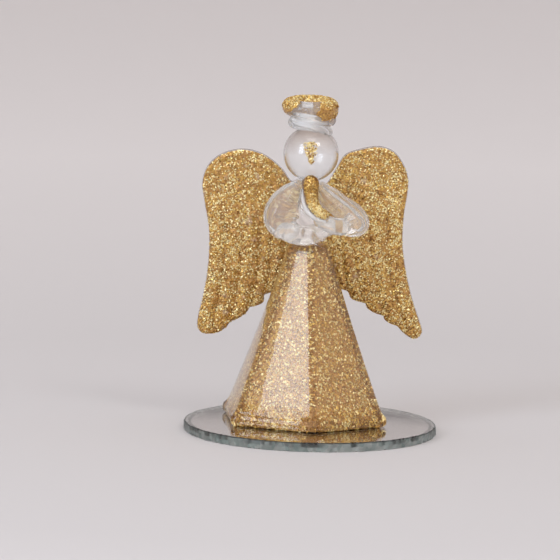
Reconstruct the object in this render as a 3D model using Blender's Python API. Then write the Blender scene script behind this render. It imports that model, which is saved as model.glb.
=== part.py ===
"""Glass angel figurine glued on a round mirror, in metres, +Z up.

The origin is the middle of the mirror's underside. The figure faces -Y, and left and right
are the figure's own, so its left side is at +X. Pieces of the figure are drawn around its
own upright axis and then set FIGURE_X and FIGURE_Y off the middle of the mirror.
"""

import math

import bmesh
import bpy
from mathutils import Matrix, Vector

MM = 0.001

# Clearance between two pieces that touch on the real object.
GAP = 0.3 * MM

# Round mirror: glass with a small ground bevel, on its silvered and lacquered back.
MIRROR_RADIUS = 30.0 * MM
MIRROR_GLASS = 1.6 * MM
MIRROR_BEVEL = 0.35 * MM
MIRROR_BACKING = 0.3 * MM
MIRROR_STEPS = 64

# Where the figure's axis stands on the mirror.
FIGURE_X = -1.4 * MM
FIGURE_Y = 3.5 * MM

# Six-sided skirt. Its radii are those of the sharp hexagon's corners.
SKIRT_HEIGHT = 42.8 * MM
SKIRT_TURN = math.radians(6)
SKIRT_TOP_RADIUS = 5.4 * MM
SKIRT_HEM_RADIUS = 19.3 * MM
SKIRT_FLARE = 1.12
SKIRT_WALL = 1.6 * MM
SKIRT_CORNER = 1.5 * MM
SKIRT_CROWN = 1.3 * MM
HEM_BEAD = 1.85 * MM
HEM_SWEEP = 1.65 * MM
LINING = 0.35 * MM

# Ring of clear glue inside the hem.
GLUE_RING_WIDTH = 1.8 * MM
GLUE_RING_HEIGHT = 1.3 * MM

# Upper body, a turned shape with a short neck.
TORSO_HEIGHT = 13.9 * MM
TORSO_RADIUS = 3.6 * MM
SHOULDER_RADIUS = 1.9 * MM
NECK_RADIUS = 1.5 * MM

HEAD_RADIUS = 6.4 * MM
FACE_DAB_RADIUS = 2.0 * MM
FACE_DAB_HEIGHT = 2.7 * MM
COAT = 0.35 * MM

# Hair rod wound round the top of the head, and the halo ring on it.
HAIR_RADIUS = 4.2 * MM
HAIR_ROD = 1.5 * MM
HALO_RADIUS = 4.65 * MM
HALO_ROD = 2.1 * MM
HALO_TILT = math.radians(3)
HALO_SHIFT = -0.45 * MM
HALO_COAT_START = math.radians(-38)
HALO_COAT_END = math.radians(218)

# Arms: glass rods, thickened to sleeves above the elbow.
SHOULDER_ROD = 1.5 * MM
FOREARM_ROD = 1.65 * MM
HANDS_ROD = 1.7 * MM
HANDS_LEAN = 0.1 * MM

# Each cuff: distance outside the torso, forward reach, and share of the torso's height. The
# forearm starts a little further in.
RIGHT_CUFF = (2.3 * MM, 3.2 * MM, 0.19)
LEFT_CUFF = (5.6 * MM, 3.1 * MM, 0.31)
CUFF_STEP = 1.1 * MM

# Wings: pressed plates that lean forward at the top.
WING_THICKNESS = 1.8 * MM
WING_LEAN = math.radians(10)
WING_STAND = 1.3 * MM
WING_RIM = 0.7 * MM
WING_WIDTH = 21.6 * MM
WING_HEIGHT = 48.0 * MM
WING_ROOT = 2.2 * MM
WING_GLUE_WIDTH = 0.7 * MM
WING_GLUE_HEIGHT = 3.2 * MM

# Heights that follow from the sizes above, from the table up.
MIRROR_TOP = MIRROR_BACKING + GAP + MIRROR_GLASS
SKIRT_FOOT = MIRROR_TOP + GAP
SKIRT_TOP = SKIRT_FOOT + SKIRT_HEIGHT
HEM_TOP = SKIRT_FOOT + 2 * HEM_BEAD + HEM_SWEEP
TORSO_FOOT = SKIRT_TOP + GAP
TORSO_TOP = TORSO_FOOT + TORSO_HEIGHT
HEAD_Z = TORSO_TOP + GAP + HEAD_RADIUS
HAIR_REACH = HEAD_RADIUS + GAP + HAIR_ROD
HAIR_Z = HEAD_Z + math.sqrt(HAIR_REACH**2 - HAIR_RADIUS**2)
HALO_DROP = (HALO_RADIUS + HALO_ROD) * math.sin(HALO_TILT)
HALO_Z = HAIR_Z + HAIR_ROD + GAP + HALO_ROD + HALO_DROP
ARM_FRONT = TORSO_RADIUS - 3.6 * MM
WING_Z = TORSO_FOOT + 0.32 * TORSO_HEIGHT
WING_FRONT = TORSO_RADIUS + WING_STAND
WING_FOOT = WING_Z - 0.626 * WING_HEIGHT

# Wing outlines as shares of the wing's width and height, from the root line and the lowest
# tip up. Each run is one smooth curve, and the runs meet at the notches between feathers.
RIGHT_WING_OUTLINE = (
    (
        (0.00, 0.74), (0.045, 0.80), (0.12, 0.817), (0.21, 0.875), (0.40, 0.943),
        (0.62, 0.972), (0.85, 0.952), (1.02, 0.890), (1.09, 0.795), (1.06, 0.690),
        (1.01, 0.565), (1.00, 0.435), (1.02, 0.305), (1.06, 0.190), (1.105, 0.095),
        (1.11, 0.040), (1.065, 0.008), (0.99, 0.000), (0.87, 0.010), (0.78, 0.040),
    ),
    ((0.78, 0.040), (0.735, 0.068), (0.66, 0.085), (0.57, 0.115), (0.525, 0.150)),
    ((0.525, 0.150), (0.45, 0.156), (0.38, 0.176), (0.37, 0.220)),
    ((0.37, 0.220), (0.31, 0.224), (0.20, 0.255), (0.15, 0.300)),
    ((0.15, 0.300), (0.06, 0.40), (0.00, 0.55), (0.00, 0.74)),
)
LEFT_WING_OUTLINE = (
    (
        (0.00, 0.74), (0.03, 0.79), (0.09, 0.811), (0.185, 0.890), (0.27, 0.955),
        (0.42, 0.985), (0.64, 1.004), (0.82, 0.975), (0.93, 0.905), (0.98, 0.835),
        (0.975, 0.760), (0.945, 0.650), (0.94, 0.500), (0.985, 0.360), (1.06, 0.220),
        (1.15, 0.100), (1.185, 0.045), (1.15, 0.012), (1.08, 0.002), (0.98, 0.030),
        (0.90, 0.068),
    ),
    ((0.90, 0.068), (0.82, 0.080), (0.76, 0.100), (0.745, 0.122)),
    ((0.745, 0.122), (0.67, 0.129), (0.57, 0.155), (0.54, 0.185)),
    ((0.54, 0.185), (0.46, 0.192), (0.38, 0.208), (0.34, 0.243), (0.24, 0.26), (0.15, 0.300)),
    ((0.15, 0.300), (0.06, 0.40), (0.00, 0.55), (0.00, 0.74)),
)

# Colour, roughness and metallic value of each material.
FINISHES = {
    "clear_glass": ((0.93, 0.94, 0.94, 1.0), 0.04, 0.0),
    "mirror_glass": ((0.78, 0.82, 0.80, 1.0), 0.03, 0.0),
    "silver_backing": ((0.60, 0.61, 0.62, 1.0), 0.15, 1.0),
    "gold_glitter": ((0.72, 0.48, 0.17, 1.0), 0.30, 0.85),
    "clear_glue": ((0.90, 0.88, 0.84, 1.0), 0.15, 0.0),
}


def finish(name, piece):
    """Gives a piece a material of its own in one of the object's finishes."""
    colour, roughness, metallic = FINISHES[name]
    material = bpy.data.materials.new(f"{piece.name}_{name}")
    material.use_nodes = True
    shader = material.node_tree.nodes["Principled BSDF"]
    shader.inputs["Base Color"].default_value = colour
    shader.inputs["Roughness"].default_value = roughness
    shader.inputs["Metallic"].default_value = metallic
    piece.data.materials.append(material)


def add_piece(name, bm, finish_name, place=(FIGURE_X, FIGURE_Y, 0)):
    """Turns a bmesh into a named object with its finish, standing at a place."""
    bmesh.ops.recalc_face_normals(bm, faces=bm.faces)
    mesh = bpy.data.meshes.new(name)
    bm.to_mesh(mesh)
    bm.free()
    piece = bpy.data.objects.new(name, mesh)
    bpy.context.scene.collection.objects.link(piece)
    mesh.shade_smooth()
    mesh.set_sharp_from_angle(angle=math.radians(40))
    piece.location = place
    finish(finish_name, piece)
    return piece


def loft(rings, looped=False):
    """Skins a row of rings of points. A ring of one point is a pole, and looped joins the
    last ring to the first."""
    bm = bmesh.new()
    rows = [[bm.verts.new(point) for point in ring] for ring in rings]
    pairs = list(zip(rows, rows[1:]))
    if looped:
        pairs.append((rows[-1], rows[0]))
    for lower, upper in pairs:
        count = max(len(lower), len(upper))
        for step in range(count):
            after = (step + 1) % count
            if len(lower) == 1:
                corners = (lower[0], upper[after], upper[step])
            elif len(upper) == 1:
                corners = (lower[step], lower[after], upper[0])
            else:
                corners = (lower[step], lower[after], upper[after], upper[step])
            bm.faces.new(corners)
    if not looped:
        for row in (rows[0], rows[-1]):
            if len(row) > 1:
                bm.faces.new(row)
    return bm


def circle(radius, z, steps):
    """Level ring of points around the upright axis."""
    turns = [2 * math.pi * step / steps for step in range(steps)]
    return [Vector((radius * math.cos(a), radius * math.sin(a), z)) for a in turns]


def hexagon(corner_radius, z):
    """Level hexagon with one corner near the front, its corners rounded by three points."""
    if corner_radius <= SKIRT_CORNER:
        return [Vector((0, 0, z))]
    rounding = min(SKIRT_CORNER, 0.4 * corner_radius)
    centre = corner_radius - rounding / math.cos(math.radians(30))
    ring = []
    for corner in range(6):
        middle = math.radians(60 * corner - 90) + SKIRT_TURN
        for swing in (-30, 0, 30):
            turn = middle + math.radians(swing)
            x = centre * math.cos(middle) + rounding * math.cos(turn)
            y = centre * math.sin(middle) + rounding * math.sin(turn)
            ring.append(Vector((x, y, z)))
    return ring


def smooth_path(points, steps):
    """Catmull-Rom curve through the points, with a number of steps between each two."""
    held = [Vector(point) for point in points]
    held = [2 * held[0] - held[1], *held, 2 * held[-1] - held[-2]]
    path = []
    for before, start, end, after in zip(held, held[1:], held[2:], held[3:]):
        for step in range(steps):
            t = step / steps
            path.append(
                0.5
                * (
                    2 * start
                    + (end - before) * t
                    + (2 * before - 5 * start + 4 * end - after) * t**2
                    + (3 * start - before - 3 * end + after) * t**3
                )
            )
    path.append(held[-2])
    return path


def rod(points, radii, round_start, round_end, steps=3, sides=12):
    """Glass rod along a smooth path. Its radius eases from point to point, and an end is
    either rounded like a melted rod or cut flat."""
    path = smooth_path(points, steps)
    sizes = [size.x for size in smooth_path([(radius, 0, 0) for radius in radii], steps)]
    sections = list(zip(path, sizes))
    if round_start:
        sections = rounded(sections, 1) + sections
    if round_end:
        sections = sections + rounded(sections[::-1], 1)[::-1]
    centres = [centre for centre, size in sections]
    side = Vector((0, 1, 0))
    rings = []
    for index, (centre, size) in enumerate(sections):
        ahead = centres[min(index + 1, len(centres) - 1)]
        behind = centres[max(index - 1, 0)]
        along = (ahead - behind).normalized()
        up = along.cross(side).normalized()
        out = up.cross(along).normalized()
        if size == 0:
            rings.append([centre])
            continue
        turns = [2 * math.pi * step / sides for step in range(sides)]
        rings.append([centre + size * (math.cos(a) * up + math.sin(a) * out) for a in turns])
    return loft(rings)


def rounded(sections, count):
    """Half-ball end before the first section: a pole, and rings shrinking to it."""
    first, size = sections[0]
    away = (first - sections[1][0]).normalized()
    ends = [(first + away * size, 0)]
    for step in range(count, 0, -1):
        turn = math.radians(90) * step / (count + 1)
        ends.append((first + away * size * math.sin(turn), size * math.cos(turn)))
    return ends


def skirt_radius(z, depth=0):
    """Corner radius of the skirt's outer face at a height above its hem, or of a face that
    lies a depth inside it."""
    drop = max(0, min(1, (SKIRT_TOP - z) / (SKIRT_TOP - HEM_TOP)))
    spread = SKIRT_HEM_RADIUS - SKIRT_TOP_RADIUS
    outer = SKIRT_TOP_RADIUS + spread * drop**SKIRT_FLARE
    return outer - depth / math.cos(math.radians(30))


def torso_radius(z):
    """Radius of the upper body: full at the waist, narrow at the shoulders and the neck."""
    share = (z - TORSO_FOOT) / TORSO_HEIGHT
    if share < 0.35:
        return TORSO_RADIUS
    if share < 0.8:
        ease = 0.5 - 0.5 * math.cos(math.pi * (share - 0.35) / 0.45)
        return TORSO_RADIUS + (SHOULDER_RADIUS - TORSO_RADIUS) * ease
    return SHOULDER_RADIUS + (NECK_RADIUS - SHOULDER_RADIUS) * (share - 0.8) / 0.2


def arm_height(share):
    """Height at a share of the torso's height above the skirt."""
    return TORSO_FOOT + share * TORSO_HEIGHT


def mirror_disc():
    bottom = MIRROR_BACKING + GAP
    inner = MIRROR_RADIUS - MIRROR_BEVEL
    profile = (
        (inner, bottom),
        (MIRROR_RADIUS, bottom + MIRROR_BEVEL),
        (MIRROR_RADIUS, MIRROR_TOP - MIRROR_BEVEL),
        (inner, MIRROR_TOP),
    )
    rings = [circle(radius, z, MIRROR_STEPS) for radius, z in profile]
    add_piece("mirror_disc", loft(rings), "mirror_glass", (0, 0, 0))


def mirror_backing():
    radius = MIRROR_RADIUS - MIRROR_BEVEL
    rings = [circle(radius, z, MIRROR_STEPS) for z in (0, MIRROR_BACKING)]
    add_piece("mirror_backing", loft(rings), "silver_backing", (0, 0, 0))


def base_adhesive():
    """Clear glue in the corner between the mirror and the inside of the hem bead."""
    outer = SKIRT_HEM_RADIUS - 0.8 * HEM_BEAD
    inner = outer - GLUE_RING_WIDTH
    top = SKIRT_FOOT + GLUE_RING_HEIGHT
    profile = ((outer, SKIRT_FOOT), (inner, SKIRT_FOOT), (outer - 1.2 * GAP - HEM_BEAD / 2, top))
    rings = [hexagon(radius, z) for radius, z in profile]
    add_piece("base_adhesive", loft(rings, looped=True), "clear_glue")


def skirt_shell():
    """Hollow skirt: down its outer face, round the hem bead and up its inner face."""
    bead_z = SKIRT_FOOT + HEM_BEAD
    top = SKIRT_TOP - SKIRT_CROWN
    rings = [hexagon(0, SKIRT_TOP)]
    rings.append(hexagon(0.55 * SKIRT_TOP_RADIUS, SKIRT_TOP - 0.08 * SKIRT_CROWN))
    rings.append(hexagon(0.86 * SKIRT_TOP_RADIUS, SKIRT_TOP - 0.4 * SKIRT_CROWN))
    rows = 8
    heights = [top + (HEM_TOP - top) * row / rows for row in range(rows + 1)]
    rings += [hexagon(skirt_radius(z), z) for z in heights]
    for turn in (55, 20, -20, -60, -100, -140, -175):
        reach = SKIRT_HEM_RADIUS + HEM_BEAD * math.cos(math.radians(turn))
        rings.append(hexagon(reach, bead_z + HEM_BEAD * math.sin(math.radians(turn))))
    hollow_top = top - SKIRT_WALL
    inner_rows = 6
    rise = (hollow_top - HEM_TOP) / inner_rows
    heights = [HEM_TOP + rise * row for row in range(inner_rows + 1)]
    rings += [hexagon(skirt_radius(z, SKIRT_WALL), z) for z in heights]
    rings.append(hexagon(0, hollow_top + 0.4 * SKIRT_WALL))
    add_piece("skirt_shell", loft(rings), "clear_glass")


def skirt_lining():
    """Coat of glitter inside the skirt, open at the foot as the skirt is."""
    top = SKIRT_TOP - SKIRT_CROWN - SKIRT_WALL - GAP
    rows = 6
    rise = (HEM_TOP - top + LINING) / rows
    heights = [top - LINING + rise * row for row in range(rows + 1)]
    outer = SKIRT_WALL + GAP
    rings = [hexagon(0, top)]
    rings += [hexagon(skirt_radius(z, outer), z) for z in heights]
    heights[0] = heights[0] - LINING
    rings += [hexagon(skirt_radius(z, outer + LINING), z) for z in heights[::-1]]
    rings.append(hexagon(0, top - 2 * LINING))
    add_piece("skirt_lining", loft(rings), "gold_glitter")


def torso():
    rows = 9
    heights = [TORSO_FOOT + TORSO_HEIGHT * row / rows for row in range(rows + 1)]
    rings = [circle(torso_radius(z), z, 20) for z in heights]
    add_piece("torso", loft(rings), "clear_glass")


def head():
    bm = bmesh.new()
    bmesh.ops.create_uvsphere(bm, u_segments=24, v_segments=14, radius=HEAD_RADIUS)
    add_piece("head", bm, "clear_glass", (FIGURE_X, FIGURE_Y, HEAD_Z))


def face_glitter():
    """Small dab of glitter on the front of the ball, rounded on top and pointed below."""
    rings = []
    inner = HEAD_RADIUS + GAP
    rows = ((inner, 0), (inner, 0.5), (inner, 1), (inner + COAT, 1), (inner + COAT, 0.5))
    rows += ((inner + COAT, 0),)
    for radius, share in rows:
        if share == 0:
            rings.append([Vector((0, -radius, 0))])
            continue
        ring = []
        for step in range(14):
            turn = 2 * math.pi * step / 14
            x = share * FACE_DAB_RADIUS * math.cos(turn) * (1 + 0.3 * math.sin(turn))
            z = share * FACE_DAB_HEIGHT * math.sin(turn)
            ring.append(Vector((x, -math.sqrt(radius**2 - x**2 - z**2), z)))
        rings.append(ring)
    add_piece("face_glitter", loft(rings), "gold_glitter", (FIGURE_X, FIGURE_Y, HEAD_Z))


def ring_rod(radius, rod_radius, around, sides):
    """Rings of a rod bent into a level circle about the origin."""
    rings = []
    for step in range(around):
        turn = 2 * math.pi * step / around
        out = Vector((math.cos(turn), math.sin(turn), 0))
        ring = []
        for side in range(sides):
            roll = 2 * math.pi * side / sides
            ring.append(out * (radius + rod_radius * math.cos(roll)))
            ring[-1].z = rod_radius * math.sin(roll)
        rings.append(ring)
    return rings


def hair():
    rings = ring_rod(HAIR_RADIUS, HAIR_ROD, 24, 10)
    add_piece("hair", loft(rings, looped=True), "clear_glass", (FIGURE_X, FIGURE_Y, HAIR_Z))


def halo_ring():
    rings = ring_rod(HALO_RADIUS, HALO_ROD, 28, 12)
    bm = loft(rings, looped=True)
    bmesh.ops.rotate(bm, verts=bm.verts, matrix=Matrix.Rotation(HALO_TILT, 3, "X"))
    add_piece("halo_ring", bm, "clear_glass", (FIGURE_X + HALO_SHIFT, FIGURE_Y, HALO_Z))


def halo_glitter():
    """Coat of glitter over the top and the outside of the halo, open at the front."""
    rolls = [math.radians(turn) for turn in (-40, -5, 30, 65, 100, 140)]
    steps = 16
    inner = HALO_ROD + GAP
    outer = inner + COAT
    rings = []
    for step in range(steps + 1):
        turn = HALO_COAT_START + (HALO_COAT_END - HALO_COAT_START) * step / steps
        out = Vector((math.cos(turn), math.sin(turn), 0))
        section = [(inner, roll) for roll in rolls] + [(outer, roll) for roll in rolls[::-1]]
        ring = []
        for size, roll in section:
            ring.append(out * (HALO_RADIUS + size * math.cos(roll)))
            ring[-1].z = size * math.sin(roll)
        rings.append(ring)
    bm = loft(rings)
    bmesh.ops.rotate(bm, verts=bm.verts, matrix=Matrix.Rotation(HALO_TILT, 3, "X"))
    add_piece("halo_glitter", bm, "gold_glitter", (FIGURE_X + HALO_SHIFT, FIGURE_Y, HALO_Z))


def arm_point(side, outside, forward, share):
    """Point of an arm, a distance outside the torso at a share of the torso's height."""
    reach = TORSO_RADIUS + GAP + outside
    return Vector((side * reach, -ARM_FRONT - forward, arm_height(share)))


def sleeve(name, side, bend):
    """Sleeve from the shoulder out to the elbow, turned in to a flat cuff. Each bend is a
    distance outside the torso, a forward reach, a share of the torso's height and a
    radius."""
    shoulder = SHOULDER_RADIUS + GAP + SHOULDER_ROD
    points = [Vector((side * shoulder, 0, arm_height(0.85)))]
    radii = [SHOULDER_ROD]
    for outside, forward, share, radius in bend:
        points.append(arm_point(side, outside, forward, share))
        radii.append(radius)
    add_piece(name, rod(points, radii, True, False, sides=14), "clear_glass")


def right_sleeve():
    bend = (
        (2.4 * MM, 0.4 * MM, 0.70, 2.3 * MM),
        (3.8 * MM, 1.2 * MM, 0.48, 3.0 * MM),
        (3.7 * MM, 2.4 * MM, 0.29, 3.1 * MM),
        (*RIGHT_CUFF, 2.3 * MM),
    )
    sleeve("right_sleeve", -1, bend)


def left_sleeve():
    bend = (
        (3.1 * MM, 0.3 * MM, 0.70, 2.3 * MM),
        (6.2 * MM, 1.2 * MM, 0.52, 3.0 * MM),
        (7.2 * MM, 2.4 * MM, 0.36, 3.1 * MM),
        (*LEFT_CUFF, 2.4 * MM),
    )
    sleeve("left_sleeve", 1, bend)


def right_forearm():
    """Rod from the right cuff across the bottom of the chest."""
    outside, forward, share = RIGHT_CUFF
    start = arm_point(-1, outside - CUFF_STEP, forward + 0.3 * CUFF_STEP, share - 0.02)
    cuff = -start.x
    points = (
        start,
        (-0.55 * cuff, -TORSO_RADIUS - FOREARM_ROD, arm_height(0.14)),
        (0, -TORSO_RADIUS - FOREARM_ROD - 1.5 * GAP, arm_height(0.13)),
        (0.32 * cuff, -TORSO_RADIUS - FOREARM_ROD - GAP, arm_height(0.15)),
    )
    radii = [FOREARM_ROD, FOREARM_ROD, FOREARM_ROD, 0.9 * FOREARM_ROD]
    add_piece("right_forearm", rod(points, radii, False, True), "clear_glass")


def left_forearm():
    """Rod from the left cuff in towards the hands, above the other forearm."""
    outside, forward, share = LEFT_CUFF
    start = arm_point(1, outside - CUFF_STEP, forward + 0.4 * CUFF_STEP, share + 0.02)
    cuff = start.x
    points = (
        start,
        (0.8 * cuff, -TORSO_RADIUS - 0.6 * FOREARM_ROD, arm_height(0.32)),
        (0.57 * cuff, -TORSO_RADIUS - 0.9 * FOREARM_ROD, arm_height(0.37)),
    )
    radii = [FOREARM_ROD, FOREARM_ROD, 0.95 * FOREARM_ROD]
    add_piece("left_forearm", rod(points, radii, False, True), "clear_glass")


def hands_path():
    """Middle line of the rod that stands for the hands, clear of the ball of the head."""
    top = arm_height(1.0)
    clear = HEAD_RADIUS + 2 * GAP + COAT + HANDS_ROD
    front = math.sqrt(clear**2 - (HEAD_Z - top) ** 2)
    return (
        Vector((-0.2 * MM, -front, top)),
        Vector((0, -front, arm_height(0.84))),
        Vector((0.6 * MM, -front - HANDS_LEAN, arm_height(0.69))),
        Vector((2.2 * MM, -front - 4 * HANDS_LEAN, arm_height(0.57))),
    )


def praying_hands():
    radii = [HANDS_ROD, 0.93 * HANDS_ROD, 0.9 * HANDS_ROD, 0.85 * HANDS_ROD]
    add_piece("praying_hands", rod(hands_path(), radii, True, True), "clear_glass")


def hands_glitter():
    """Coat of glitter on the front of the hands' rod, a half tube along it."""
    path = smooth_path(hands_path(), 3)
    inner = HANDS_ROD + GAP
    swings = [math.radians(turn) for turn in (-70, -35, 0, 35, 70)]
    rings = []
    for index, centre in enumerate(path):
        along = (path[min(index + 1, len(path) - 1)] - path[max(index - 1, 0)]).normalized()
        across = along.cross(Vector((0, -1, 0))).normalized()
        front = across.cross(along).normalized()
        section = [(inner, swing) for swing in swings]
        section += [(inner + COAT, swing) for swing in swings[::-1]]
        directions = [(size, math.cos(a) * front + math.sin(a) * across) for size, a in section]
        rings.append([centre + size * direction for size, direction in directions])
    add_piece("hands_glitter", loft(rings), "gold_glitter")


def wing_outline(runs):
    """Closed outline of one wing as (outward, up) in metres from the figure's axis."""
    outline = []
    for run in runs:
        points = [(share_x, share_z, 0) for share_x, share_z in run]
        for point in smooth_path(points, 2)[:-1]:
            x = WING_ROOT + WING_WIDTH * point.x
            outline.append(Vector((x, WING_FOOT + WING_HEIGHT * point.y)))
    return outline


def inset(outline, depth):
    """The outline moved inwards by a depth, point by point."""
    moved = []
    area = sum(a.cross(b) for a, b in zip(outline, outline[1:] + outline[:1]))
    inward = 1 if area > 0 else -1
    for index, point in enumerate(outline):
        before = (point - outline[index - 1]).normalized()
        after = (outline[(index + 1) % len(outline)] - point).normalized()
        normal = inward * Vector((-before.y - after.y, before.x + after.x)).normalized()
        moved.append(point + depth * normal)
    return moved


def plate(outline, side, front, thickness):
    """Flat plate with an outline, its front face a distance behind the wings' plane, which
    leans forward at the top about the line at WING_Z."""
    bm = bmesh.new()
    corners = [bm.verts.new((side * x, front, z - WING_Z)) for x, z in outline]
    face = bm.faces.new(corners)
    grown = bmesh.ops.extrude_face_region(bm, geom=[face])["geom"]
    back = [item for item in grown if isinstance(item, bmesh.types.BMVert)]
    bmesh.ops.translate(bm, verts=back, vec=(0, thickness, 0))
    bmesh.ops.rotate(bm, verts=bm.verts, matrix=Matrix.Rotation(WING_LEAN, 3, "X"))
    bmesh.ops.triangulate(bm, faces=bm.faces)
    return bm


def wing(name, side, runs):
    """Pressed glass wing, and its coat of glitter inside a clear rim."""
    place = (FIGURE_X, FIGURE_Y + WING_FRONT, WING_Z)
    outline = wing_outline(runs)
    add_piece(name, plate(outline, side, 0, WING_THICKNESS), "clear_glass", place)
    coat = plate(inset(outline, WING_RIM), side, -GAP - COAT, COAT)
    add_piece(f"{name}_glitter", coat, "gold_glitter", place)


def wing_adhesive(name, side):
    """Bead of clear glue between the back of the torso and a wing's root."""
    x = WING_ROOT + WING_RIM
    torso_back = math.sqrt(TORSO_RADIUS**2 - x**2)
    wing_face = WING_FRONT - GAP - COAT
    depth = (wing_face - torso_back) / 2 - GAP
    bm = bmesh.new()
    bmesh.ops.create_uvsphere(bm, u_segments=12, v_segments=8, radius=1)
    bmesh.ops.scale(bm, verts=bm.verts, vec=(WING_GLUE_WIDTH, depth, WING_GLUE_HEIGHT))
    bmesh.ops.rotate(bm, verts=bm.verts, matrix=Matrix.Rotation(WING_LEAN / 2, 3, "X"))
    y = FIGURE_Y + (torso_back + wing_face) / 2
    add_piece(name, bm, "clear_glue", (FIGURE_X + side * x, y, WING_Z))


def build():
    for thing in list(bpy.data.objects):
        bpy.data.objects.remove(thing, do_unlink=True)
    mirror_backing()
    mirror_disc()
    base_adhesive()
    skirt_shell()
    skirt_lining()
    torso()
    right_sleeve()
    left_sleeve()
    right_forearm()
    left_forearm()
    praying_hands()
    hands_glitter()
    head()
    face_glitter()
    hair()
    halo_ring()
    halo_glitter()
    wing("right_wing", -1, RIGHT_WING_OUTLINE)
    wing("left_wing", 1, LEFT_WING_OUTLINE)
    wing_adhesive("right_wing_adhesive", -1)
    wing_adhesive("left_wing_adhesive", 1)


build()
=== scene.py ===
import math

import bpy
import numpy as np
from mathutils import Matrix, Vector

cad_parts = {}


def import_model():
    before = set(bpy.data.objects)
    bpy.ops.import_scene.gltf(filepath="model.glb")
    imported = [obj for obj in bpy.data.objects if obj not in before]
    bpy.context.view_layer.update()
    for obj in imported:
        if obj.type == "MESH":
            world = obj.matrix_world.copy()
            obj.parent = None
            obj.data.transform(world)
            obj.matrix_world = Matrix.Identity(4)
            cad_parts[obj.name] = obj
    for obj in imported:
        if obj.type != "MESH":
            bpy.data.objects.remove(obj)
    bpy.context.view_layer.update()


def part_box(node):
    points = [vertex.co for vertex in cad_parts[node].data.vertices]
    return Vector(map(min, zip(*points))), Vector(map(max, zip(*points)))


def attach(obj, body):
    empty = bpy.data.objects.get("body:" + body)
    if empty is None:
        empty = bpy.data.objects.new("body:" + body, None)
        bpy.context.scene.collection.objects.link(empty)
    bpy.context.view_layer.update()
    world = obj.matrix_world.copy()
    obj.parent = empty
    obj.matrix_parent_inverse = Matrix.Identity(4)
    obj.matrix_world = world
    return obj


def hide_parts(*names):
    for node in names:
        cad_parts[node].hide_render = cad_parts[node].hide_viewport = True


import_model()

MM = 0.001


# Mirror glass: a round of thin float glass. It is scored, broken out and ground, which leaves
# a wavy greenish edge with shell-shaped chips.


def box(node):
    """Lowest and highest corner of a CAD node."""
    return np.array(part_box(node))


mirror_low, mirror_high = box("mirror_disc")
MIRROR_COLUMNS = 720
MIRROR_RIM = 0.25 * MM
MIRROR_LIFT = 0.02 * MM
MIRROR_CHIPS = 260
MIRROR_CHIP_DEPTH = 0.4 * MM
MIRROR_CHIP_REACH = 1.6 * MM
FLOAT_GLASS = (0.93, 0.96, 0.95)
GROUND_DEEP = (0.34, 0.50, 0.48)
GROUND_PALE = (0.84, 0.93, 0.91)


def skin(name, grid, looped=False, **marks):
    """Piece whose surface is a grid of points, rows by columns by three. Quads join
    neighbours, each row's end joins its start, looped joins the last row to the first, and
    an end row that is one single point becomes a pole. A mark is a value for every point,
    which the mesh carries as an attribute of that name."""
    rows, columns = grid.shape[:2]
    index = np.arange(rows * columns).reshape(rows, columns)
    for row in (0, rows - 1):
        if not looped and np.ptp(grid[row], axis=0).max() < 1e-9:
            index[row] = index[row, 0]
    if looped:
        index = np.vstack([index, index[:1]])
    index = np.hstack([index, index[:, :1]])
    corners = [index[:-1, :-1], index[:-1, 1:], index[1:, 1:], index[1:, :-1]]
    corners = np.stack(corners, axis=-1).reshape(-1, 4)
    used, corners = np.unique(corners, return_inverse=True)
    corners = corners.reshape(-1, 4)
    points = grid.reshape(-1, 3)[used]
    a, b, c, d = (points[corners[:, side]] for side in range(4))
    volume = np.einsum("ij,ij->", a, np.cross(b, c)) + np.einsum("ij,ij->", a, np.cross(c, d))
    if volume < 0:
        corners = corners[:, ::-1]
    first = corners[:, 0] == corners[:, 1]
    last = corners[:, 2] == corners[:, 3]
    faces = corners[~first & ~last].tolist()
    faces += corners[first][:, 1:].tolist() + corners[last][:, :3].tolist()
    made = piece(name, points, faces)
    for mark, value in marks.items():
        carry(made, mark, np.broadcast_to(value, grid.shape[:2]).reshape(-1)[used])
    return made


def piece(name, points, faces):
    """Smooth mesh object in the scene, from its points and faces."""
    mesh = bpy.data.meshes.new(name)
    mesh.from_pydata(points.tolist(), [], faces)
    mesh.shade_smooth()
    return placed(name, mesh)


def placed(name, data):
    """Object of a mesh, a lamp or a camera, linked to the scene."""
    made = bpy.data.objects.new(name, data)
    bpy.context.scene.collection.objects.link(made)
    return made


def carry(made, mark, values):
    """Gives every point of a piece its own value of an attribute."""
    made.data.attributes.new(mark, "FLOAT", "POINT").data.foreach_set("value", values)


def turns(count):
    """Angles all the way round, evenly spaced."""
    return np.linspace(0, 2 * math.pi, count, endpoint=False)


def pointing(turn):
    """Level direction of length 1 at each angle."""
    return np.stack([np.cos(turn), np.sin(turn)], axis=-1)


def turned(radius, height, columns, centre=(0, 0)):
    """Grid of a turned shape: each row is a level circle of one of the radii at one of the
    heights."""
    grid = np.empty((len(radius), columns, 3))
    grid[..., :2] = centre + np.multiply.outer(radius, pointing(turns(columns)))
    grid[..., 2] = np.asarray(height)[:, None]
    return grid


class Wire:
    """An output socket on which Python's operators add Math nodes."""

    def __init__(self, finish, socket):
        self.finish = finish
        self.socket = socket

    def __add__(self, other):
        return self.finish.maths("ADD", self, other)

    def __sub__(self, other):
        return self.finish.maths("SUBTRACT", self, other)

    def __rsub__(self, other):
        return self.finish.maths("SUBTRACT", other, self)

    def __mul__(self, other):
        return self.finish.maths("MULTIPLY", self, other)

    __radd__ = __add__
    __rmul__ = __mul__


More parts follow.
